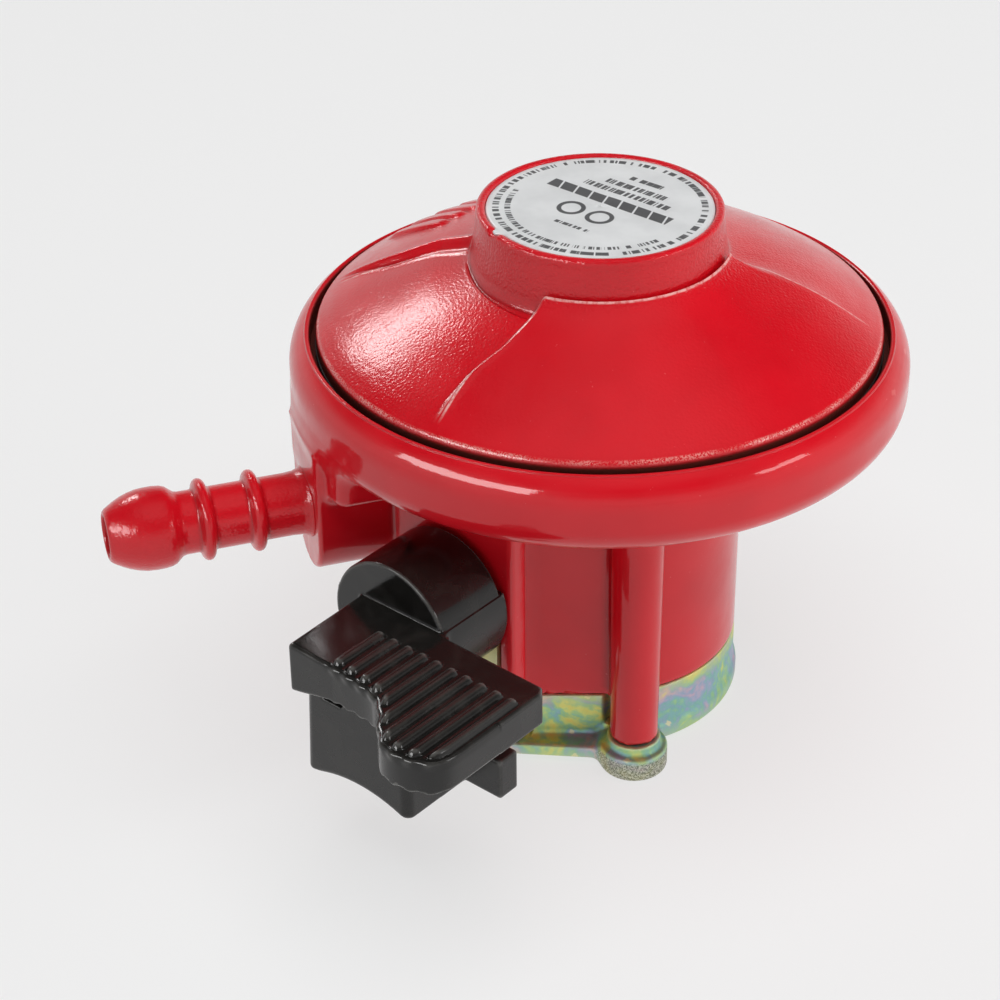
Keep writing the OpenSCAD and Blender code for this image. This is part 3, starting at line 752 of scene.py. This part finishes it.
def base(u, v, z):
    """Skirt, wedge-shaped floor and feet of the base plate, cut for what passes it."""
    feet = feet_distance(u, v)
    wall = edge(bell_plan(u, v, BELL_R), slab(z, 0, SKIRT_TOP - 0.05), 0.3)
    wall = cut(wall, np.maximum(bell_plan(u, v, BELL_R - 1.5), 2 - z), 0.3)
    flange = np.minimum(wedge_field(u, v), bell_plan(u, v, BELL_R + 0.35))
    floor = edge(flange, slab(z, 0, FLOOR_TOP), 0.45)
    pads = edge(feet - PAD_R, slab(z, FOOT_BOTTOM + 0.08, PAD_TOP), 0.45)
    collars = edge(feet - COLLAR_R, slab(z, 0, COLLAR_TOP), 0.25)
    plate = blend(blend(wall, floor, 1.0), blend(pads, collars, 0.8), 1.4)
    plate = cut(plate, np.hypot(u, v) - SOCKET_R, 0.5)
    slot = np.maximum(slab(u, SLIDE_BACK, 30), slab(v, SLIDE_LEFT, SLIDE_RIGHT))
    plate = cut(plate, np.maximum(slot, 2 - z), 0.4)
    room = feet_distance(u, v, POST_ROOM_REACH) - POST_ROOM_R
    plate = cut(plate, np.maximum(room, COLLAR_TOP - z), 0.5)
    plate = cut(plate, np.maximum(feet - SCREW_HEAD_R, z - 1), 0.3)
    return cut(plate, feet - 1.45, 0.3)


base_step = 0.28 * COARSE
base_grid = straight_grid((-26.6, -22.4, FOOT_BOTTOM), (26.1, 22.4, SKIRT_TOP), base_step)
solid("skirt_plate", base, base_grid, base_step,
      "housing", PLATED, "passivated_steel", "base_plate", turned=True)


# ------------------------------------------------------------------- lever
DRUM_R, DRUM_BACK, DRUM_FRONT = 9.26, 30.2, 41.1
DRUM_PARTING = 31.2
PLATE_TOP, RIB_RISE, RIB_HALF = 31.2, 0.70, 0.86
RIB_FIRST, RIB_PITCH, RIB_COUNT, RIB_INNER = 3.15, 2.34, 10, 46.4
TIP = [(54.7, 3.0), (55.2, 9.7), (56.1, 11.6), (57.3, 13.0), (58.9, 14.3), (60.6, 16.0),
       (61.6, 17.2), (62.1, 18.6), (62.2, 20.3), (61.9, 22.0), (61.3, 23.6), (60.4, 24.7),
       (59.3, 25.45), (58.2, 25.7), (56.0, 25.75), (42.4, 25.7)]
THUMB = ([(DRUM_FRONT - 4, -5.1), (54.0, -4.6)] + arc(54.0, -4.1, 0.5, 0.5, -80, 0, 4)
         + softened(TIP, 3) + [(41.3, 24.8), (DRUM_FRONT, 9.4), (DRUM_FRONT - 4, 7.0)])
thumb_field = table_field(THUMB, (34, -8), (66, 30))


def rib_profile(u, v, plan):
    """One along each rib's crest, falling to zero at its rounded sides and ends."""
    near = np.clip(np.round((v - RIB_FIRST) / RIB_PITCH), 0, RIB_COUNT - 1)
    across = v - RIB_FIRST - near * RIB_PITCH
    past_end = np.maximum(np.maximum(RIB_INNER - u, 0), np.maximum(plan + 1.35, 0))
    return np.sqrt(smooth_step(1 - np.hypot(across, past_end) / RIB_HALF, 0, 0.75))


PLATE_SLOPE_LOW, PLATE_SLOPE_RISE, PLATE_SLOPE_MORE = 24.0, 2.1, 0.5
BLOCK_FRONT, BLOCK_LEFT, BLOCK_RIGHT, BLOCK_LOW = 52.2, -4.3, 12.4, 10.5
ARCH_V, ARCH_Z, ARCH_R, ARCH_BACK = 4.2, -7.6, 19.5, 46.6
NOTCH = ((51.0, -1.6, 23.0), (54, 1.9, 29))
TAB = ((38.6, 11.4, 11), (42, 18.6, 16.8))
KEY_HALF = 2.85


def lever(u, v, z):
    """Drum, ribbed thumb plate, arched block under it and tab, blended as moulded."""
    radial = np.hypot(v, z - SHAFT_Z)
    drum = edge(radial - DRUM_R, slab(u, DRUM_BACK, DRUM_FRONT), 0.3)
    skirt = edge(radial - DRUM_R - 0.14, slab(u, DRUM_BACK - 0.7, DRUM_FRONT - 0.1), 0.3)
    drum = np.minimum(drum, edge(skirt, z - DRUM_PARTING, 0.1))
    plan = thumb_field(u, v)
    near_edge = smooth_step(plan, -2.2, -0.4)
    wave = np.cos(TAU * (v - RIB_FIRST) / RIB_PITCH) * (u > 50) * smooth_step(v, 1.4, 3.2)
    low = PLATE_SLOPE_LOW + PLATE_SLOPE_RISE * smooth_step(v, -6.5, 4.5)
    low = low + PLATE_SLOPE_MORE * smooth_step(v, 4, 14) - 0.16 * wave * near_edge
    high = PLATE_TOP + RIB_RISE * rib_profile(u, v, plan)
    plan = plan - 0.10 * wave * smooth_step(z, 29.8, 30.8)
    plate = edge(edge(plan, low - z, 0.3), z - high, 0.6)
    left = BLOCK_LEFT - 0.05 * (26 - z)
    block_side = edge(slab(u, DRUM_FRONT - 1.5, BLOCK_FRONT), slab(v, left, BLOCK_RIGHT), 1.3)
    under = edge(block_side, slab(z, BLOCK_LOW, 28), 0.5)
    arch = np.maximum(np.hypot(v - ARCH_V, z - ARCH_Z) - ARCH_R, ARCH_BACK - u)
    under = cut(under, arch, 0.8)
    under = cut(under, block(u, v, z, *NOTCH, 0.5), 0.4)
    body = blend(blend(drum, plate, 0.5), under, 0.7)
    body = blend(body, block(u, v, z, *TAB, 0.4), 0.6)
    key = block(u, v, z, (28, -KEY_HALF, SHAFT_Z - KEY_HALF), (38, KEY_HALF, SHAFT_Z + KEY_HALF), 0.3)
    return cut(body, key, 0.3)


lever_step = 0.25 * COARSE
lever_grid = straight_grid((29, -9.6, 10.3), (62.6, 26.2, 37.5), lever_step)
solid("lever_moulding", lever, lever_grid, lever_step,
      "lever", BLACK, "black_plastic", "lever", turned=True)


# ------------------------------------------------------------------ bonnet
NECK_R, RECESS_R, RECESS_Z = 16.2, 14.55, NECK_TOP - 0.7


def ridge(*stations):
    """Azimuth of a ridge line over the dome, by radius."""
    radii, angles = zip(*stations)
    return lambda r: np.interp(r, radii, np.radians(angles))


RIDGE_FRONT = ridge((16, 223.6), (18, 223.3), (23.6, 220.6), (27.8, 216.9), (32.5, 216.0), (36, 216.0))
RIDGE_LEFT = ridge((16, 155.5), (16.7, 155), (21, 150.0), (26.4, 149.8), (33.6, 147.8), (36, 147.4))
RIDGE_RIGHT = ridge((16, 329.0), (18.5, 331.2), (22, 333.0), (28, 332.3), (36, 331.6))


# The edge of the dip at the neck's foot on the left: azimuths in degrees and radii there.
DIP_TURNS, DIP_RADII = (150, 158, 171, 192, 213, 222), (16.2, 16.8, 17.1, 17.6, 18.1, 18.3)


def across_ridge(r, a, line):
    """Distance round the dome from a ridge, positive towards greater azimuth."""
    off = (a - line(r) + math.pi) % TAU - math.pi
    return off * r


def panels(r, a):
    """How far the three cast panels stand above the left one, and their creases."""
    fade = smooth_step(35.4 - r, 0, 9)
    front = across_ridge(r, a, RIDGE_FRONT)
    left = across_ridge(r, a, RIDGE_LEFT)
    right = across_ridge(r, a, RIDGE_RIGHT)
    step = 0.80 * fade
    line_fade = smooth_step(35.9 - r, 0, 4)
    wide = 0.30 + 1.9 * smooth_step(35.0 - r, 0, 19)
    on_left = smooth_step(left, -wide, 0.0) * (1 - smooth_step(front, -0.50, 0.30))
    low = -step * on_left * (np.cos(a) < 0.3)
    bead = 0.24 * line_fade * np.exp(-((front - 0.50) / 0.42) ** 2)
    bead = bead + 0.20 * line_fade * np.exp(-((left + wide + 0.40) / 0.42) ** 2)
    bead = bead + 0.20 * line_fade * np.exp(-((left - 0.45) / 0.42) ** 2)
    groove = -0.32 * line_fade * np.exp(-((left + wide * 0.5) / (0.2 + wide * 0.35)) ** 2)
    groove = groove - 0.12 * line_fade * np.exp(-((front + 0.45) / 0.40) ** 2)
    inner = np.interp(np.degrees(a) % 360, DIP_TURNS, DIP_RADII)
    sector = smooth_step(left, 0, 1.5) * smooth_step(-front, -0.3, 0.5) * (np.cos(a) < 0.3)
    dip = -0.50 * smooth_step(inner - r, 0.0, 0.55) * sector
    ahead = smooth_step(front, 0.0, 1.2) * smooth_step(-right, -0.5, 1.5) * (np.sin(a) < 0.3)
    rise = 1.8 * np.exp(-np.maximum(r - 16.6, 0) / 3.0) + 0.14 * np.exp(-((r - 16.9) / 0.22) ** 2)
    dip = dip + ahead * rise
    crease = 0.42 * fade * np.exp(-np.sqrt(right * right + 0.02) / np.where(right < 0, 5.0, 2.2))
    return low + bead + groove + crease + dip


PADS = ((107, 27.0), (114, 27.5), (121, 28.0), (128, 28.5))     # azimuth and radius of each


def lumps(r, a):
    """Low cast pads on the far side of the dome."""
    total = 0
    for middle, reach in PADS:
        along = (r - reach) / 4.2
        off = across_ridge(r, a, lambda q, m=middle: math.radians(m)) / 1.1
        total = total + 0.55 * smooth_step(1.5 - np.sqrt(along ** 4 + off ** 4), 0, 0.8)
    return total


TAB_TURN = math.radians(191)
dome = softened(
    [(36.6, 53.05), (36.6, 53.8), (36.58, 54.5), (36.48, 55.0), (36.15, 55.4), (35.5, 55.82),
     (34.5, 56.5), (33.25, 57.25), (32, 58.02), (29.5, 59.4), (27, 60.62), (24.5, 61.7),
     (22, 62.68), (19.5, 63.5), (17.6, 64.12), (16.9, 64.4)], 3)
neck = ([(16.55, 64.62), (16.38, 64.85), (16.28, 65.2), (NECK_R, 65.8), (15.75, 69.6)]
        + arc(15.2, NECK_TOP - 0.55, 0.52, 0.55, 5, 90, 6)
        + [(15.0, NECK_TOP), (14.75, NECK_TOP - 0.05), (RECESS_R, NECK_TOP - 0.25),
           (RECESS_R, RECESS_Z + 0.1), (RECESS_R - 0.1, RECESS_Z), (11, RECESS_Z)])
inside = [(11, 62.4), (20, 60.6), (31, 55.6), (31, 53.05)]
FINE_FROM = 21.0    # inside this radius the dome's points are closer together
near_neck = [p for p in dome if p[0] < FINE_FROM]
dome_line = even_line([p for p in dome if p[0] >= FINE_FROM] + near_neck[:1], 0.32)[:-1]
dome_line += even_line(near_neck, 0.18)
neck_line = even_line([dome[-1]] + neck, 0.28)[1:]
inside_line = resample([neck[-1]] + inside, 2.5)[1:]
bonnet_line = dome_line + neck_line + inside_line

# How much of the cast relief each point of the line takes: all of it on the dome,
# less and less up the neck's foot, and none inside.
NECK_FOOT_LOW, NECK_FOOT_HIGH = 64.42, 65.6
neck_share = (NECK_FOOT_HIGH - np.array(neck_line)[:, 1]) / (NECK_FOOT_HIGH - NECK_FOOT_LOW)
relief_share = np.concatenate([
    np.ones(len(dome_line)), np.clip(neck_share, 0, 1) ** 2, np.zeros(len(inside_line))])


def cast_dome(r, z, a):
    """Raises the dome's panels and ridges and cuts the notch in the neck's lip."""
    share = relief_share[:, None]
    reach = np.clip(r, 16.3, 37)
    rise = panels(reach, a) + lumps(reach, a)
    notch = np.exp(-(((a - TAB_TURN) / 0.06) ** 4))
    lip = (z > RECESS_Z + 0.2) & (r < 15.9)
    return r, z + rise * share - 0.42 * notch * lip


def even_turn(degrees):
    return np.radians(np.arange(0, 360 - 0.01, degrees))


def lathe(profile, angles, shift=None):
    """Closed ring mesh of a (radius, height) line at the given azimuths."""
    profile = np.array(profile, float)
    count, sides = len(profile), len(angles)
    r = np.repeat(profile[:, 0][:, None], sides, axis=1)
    z = np.repeat(profile[:, 1][:, None], sides, axis=1)
    a = np.repeat(angles[None, :], count, axis=0)
    if shift is not None:
        r, z = shift(r, z, a)
    points = np.stack([r * np.cos(a), r * np.sin(a), z], axis=2)
    i, k = np.meshgrid(np.arange(count), np.arange(sides), indexing="ij")
    j, m = (i + 1) % count, (k + 1) % sides
    faces = np.stack([i * sides + k, i * sides + m, j * sides + m, j * sides + k], axis=2)
    return points.reshape(-1, 3), faces.reshape(-1, 4), ring_normals(profile, points, angles).reshape(-1, 3)


def ring_normals(profile, points, angles):
    """Normals of a ring mesh, from how its points run along and round it."""
    around = np.concatenate([points[:, -2:], points, points[:, :2]], axis=1)
    turn = np.concatenate([angles[-2:] - TAU, angles, angles[:2] + TAU])
    round_way = np.gradient(around, turn, axis=1)[:, 2:-2]
    gaps = np.hypot(*(np.roll(profile, -1, axis=0) - profile).T)
    place = np.concatenate([[0], np.cumsum(gaps)])
    along = np.concatenate([points[-2:], points, points[:2]], axis=0)
    way = np.concatenate([place[-3:-1] - place[-1], place[:-1], place[-1] + place[:2]])
    long_way = np.gradient(along, way, axis=0)[2:-2]
    normals = np.cross(round_way, long_way)
    return normals / np.maximum(np.linalg.norm(normals, axis=2), 1e-12)[:, :, None]


bonnet_angles = even_turn(0.6 * COARSE)
points, faces, normals = lathe(bonnet_line, bonnet_angles, cast_dome)
piece("bonnet_casting", points, faces, normals, "housing", RED_CAST, "red_paint", "bonnet")
print("bonnet triangles", 2 * len(faces))


# ---------------------------------------------------------------- the rest
DISC_R = RECESS_R - 0.1
disc_z = bottom("rating_disc")
LABEL = label_print("label_print", DISC_R)
disc_line = ([(0.02, disc_z)] + resample([(0.5, disc_z), (DISC_R - 0.1, disc_z), (DISC_R, disc_z + 0.1),
             (DISC_R, disc_z + 0.3), (DISC_R - 0.12, disc_z + 0.4), (0.5, disc_z + 0.4)], 0.5)
             + [(0.02, disc_z + 0.4)])


def dished(r, z, a):
    """Slight waves pressed into the label by hand."""
    wave = 0.05 * np.sin(2 * a + 0.6) * (r / DISC_R) ** 2 + 0.03 * np.sin(3 * a + r / 4)
    tab = np.exp(-(((a - TAB_TURN) / 0.05) ** 4)) * smooth_step(r, 13.6, DISC_R - 0.1)
    return r + 0.85 * tab, z + wave * (z > disc_z + 0.2) + 0.22 * tab


points, faces, normals = lathe(disc_line, even_turn(2), dished)
piece("label_disc", points, faces, normals, "housing", LABEL, "aluminium", "rating_disc")

TUBE_R, BORE_R = 4.1, 2.75


def ring_line(middle):
    """Section of one raised ring on the hose tail, as (distance, radius)."""
    return [(middle - 1.25, TUBE_R), (middle - 1.0, TUBE_R + 0.08)] + [
        (middle - 0.82 * math.cos(t), TUBE_R + 0.25 + 1.0 * math.sin(t))
        for t in np.linspace(0.15, math.pi - 0.15, 9)] + [
        (middle + 1.0, TUBE_R + 0.08), (middle + 1.25, TUBE_R)]


# Half section of the tail as (distance from the part's axis, radius).
tail = ([(32, BORE_R), (32, TUBE_R - 0.08), (39.95, TUBE_R - 0.08), (39.95, 4.75), (40.15, 4.7),
         (40.5, 4.45), (41.2, 4.2), (42.4, TUBE_R)]
        + ring_line(47.0) + ring_line(53.6)
        + [(56.4, TUBE_R), (56.9, 4.22), (57.4, 4.62), (57.9, 5.03), (58.5, 5.25), (59.4, 5.35),
           (60.5, 5.36), (61.6, 5.28), (62.7, 5.03), (63.7, 4.68), (64.6, 4.25), (65.3, 3.85),
           (65.85, 3.5), (TAIL_TIP - 0.08, 3.22), (TAIL_TIP, 3.0),
           (TAIL_TIP - 0.1, BORE_R + 0.05), (TAIL_TIP - 0.5, BORE_R)])
tail_line = resample([(r, s) for s, r in tail] + [(BORE_R, 32.0)], 0.35)[:-1]
points, faces, normals = lathe(tail_line, even_turn(3))
points = np.stack([-points[:, 2], points[:, 1], TAIL_Z + points[:, 0]], axis=1)
normals = np.stack([-normals[:, 2], normals[:, 1], normals[:, 0]], axis=1)
piece("hose_tail", points, faces, normals, "housing", RED_CAST, "red_paint", "hose_nozzle")

# Finishes of the CAD nodes that keep their own meshes.
finishes = {"bright_steel": STEEL, "aluminium": ALLOY, "brass": BRASS, "rubber": RUBBER,
            "passivated_steel": PLATED, "red_paint": RED_CAST, "black_plastic": BLACK}
for part in frame["record"]["subparts"]:
    node = frame["nodes"].get(part["node"])
    if node is not None:
        node.data.materials.clear()
        node.data.materials.append(finishes[part["material_slot"]])


# ------------------------------------------------------- camera and studio
def aimed(obj, place, target):
    """Puts an object at a place in millimetres with its -Z axis towards a target."""
    obj.location = Vector(place) * MM
    obj.rotation_mode = "QUATERNION"
    obj.rotation_quaternion = (Vector(target) - Vector(place)).to_track_quat("-Z", "Y")


def softbox(name, place, target, width, height, glow):
    """Rectangular light; glow is how bright its face looks."""
    data = bpy.data.lights.new(name, "AREA")
    data.shape = "RECTANGLE"
    data.size, data.size_y = width * MM, height * MM
    data.energy = glow * math.pi * data.size * data.size_y
    light = bpy.data.objects.new(name, data)
    bpy.context.scene.collection.objects.link(light)
    aimed(light, place, target)
    return light


CAMERA_AT = Vector((-98.1, -267.7, 209.2))
HEADING_X, HEADING_Y = 0.3007, 0.9537
PITCH, ROLL = math.radians(32.6), math.radians(-0.7)
ahead = Vector((HEADING_X * math.cos(PITCH), HEADING_Y * math.cos(PITCH), -math.sin(PITCH))).normalized()
level = Vector((HEADING_Y, -HEADING_X, 0)).normalized()
upward = level.cross(ahead)
right = level * math.cos(ROLL) + upward * math.sin(ROLL)
upward = right.cross(ahead)
camera_data = bpy.data.cameras.new("camera")
camera_data.sensor_width = 36
camera_data.lens = 90
camera_data.clip_start, camera_data.clip_end = 0.01, 50
camera = bpy.data.objects.new("camera", camera_data)
bpy.context.scene.collection.objects.link(camera)
camera.matrix_world = Matrix((
    (right.x, upward.x, -ahead.x, CAMERA_AT.x * MM),
    (right.y, upward.y, -ahead.y, CAMERA_AT.y * MM),
    (right.z, upward.z, -ahead.z, CAMERA_AT.z * MM),
    (0, 0, 0, 1)))
bpy.context.scene.camera = camera

PALE = (0.831, 0.831, 0.831)
FLOOR_HALF = 8.0        # metres
floor_mesh = bpy.data.meshes.new("studio_floor")
floor_corners = [(FLOOR_HALF * i, FLOOR_HALF * j, 0) for i, j in ((-1, -1), (1, -1), (1, 1), (-1, 1))]
floor_mesh.from_pydata(floor_corners, [], [(0, 1, 2, 3)])
floor = bpy.data.objects.new("studio_floor", floor_mesh)
floor.location.z = FOOT_BOTTOM * MM
bpy.context.scene.collection.objects.link(floor)
sheet = Paint("studio_paper", Base_Color=(0.22, 0.22, 0.22), Roughness=1.0, Specular_IOR_Level=0.0,
              Emission_Color=PALE, Emission_Strength=0.79)
floor_mesh.materials.append(sheet.material)

world = bpy.data.worlds.new("studio")
bpy.context.scene.world = world
world.use_nodes = True
sky = world.node_tree
direction = sky.nodes.new("ShaderNodeTexCoord").outputs["Generated"]
parts = sky.nodes.new("ShaderNodeSeparateXYZ")
sky.links.new(direction, parts.inputs[0])
fall = sky.nodes.new("ShaderNodeValToRGB")
SKY_STEPS = ((0.02, 0.85), (0.22, 0.66), (0.42, 0.18), (0.62, 0.01))     # height and glow
while len(fall.color_ramp.elements) < len(SKY_STEPS):
    fall.color_ramp.elements.new(0.5)
for element, (height, glow) in zip(fall.color_ramp.elements, SKY_STEPS):
    element.position = height
    element.color = (glow, glow, glow, 1)
sky.links.new(parts.outputs["Z"], fall.inputs["Fac"])
sky.links.new(fall.outputs["Color"], sky.nodes["Background"].inputs["Color"])

# Name, place, target, width, height, glow, and whether it is reflected and lights faces.
LIGHTS = (
    ("back_left", (-238, 768, 600), (-28, -4, 57), 380, 340, 0.9, True, True),
    ("back_core", (-232, 750, 587), (-28, -4, 57), 210, 190, 12.0, True, False),
    ("side_left", (-708, -286, 422), (0, 0, 50), 760, 220, 10.0, True, False),
    ("front_right", (640, -560, 440), (0, 0, 50), 320, 150, 6.5, True, False),
    ("overhead", (60, -160, 900), (0, 0, 30), 900, 900, 3.1, False, True),
    ("right_fill", (620, -420, 300), (0, 0, 30), 500, 400, 2.2, False, True))
for *where, reflected, lights_faces in LIGHTS:
    light = softbox(*where)
    light.visible_glossy, light.visible_diffuse = reflected, lights_faces
bpy.context.scene.view_settings.view_transform = "Standard"
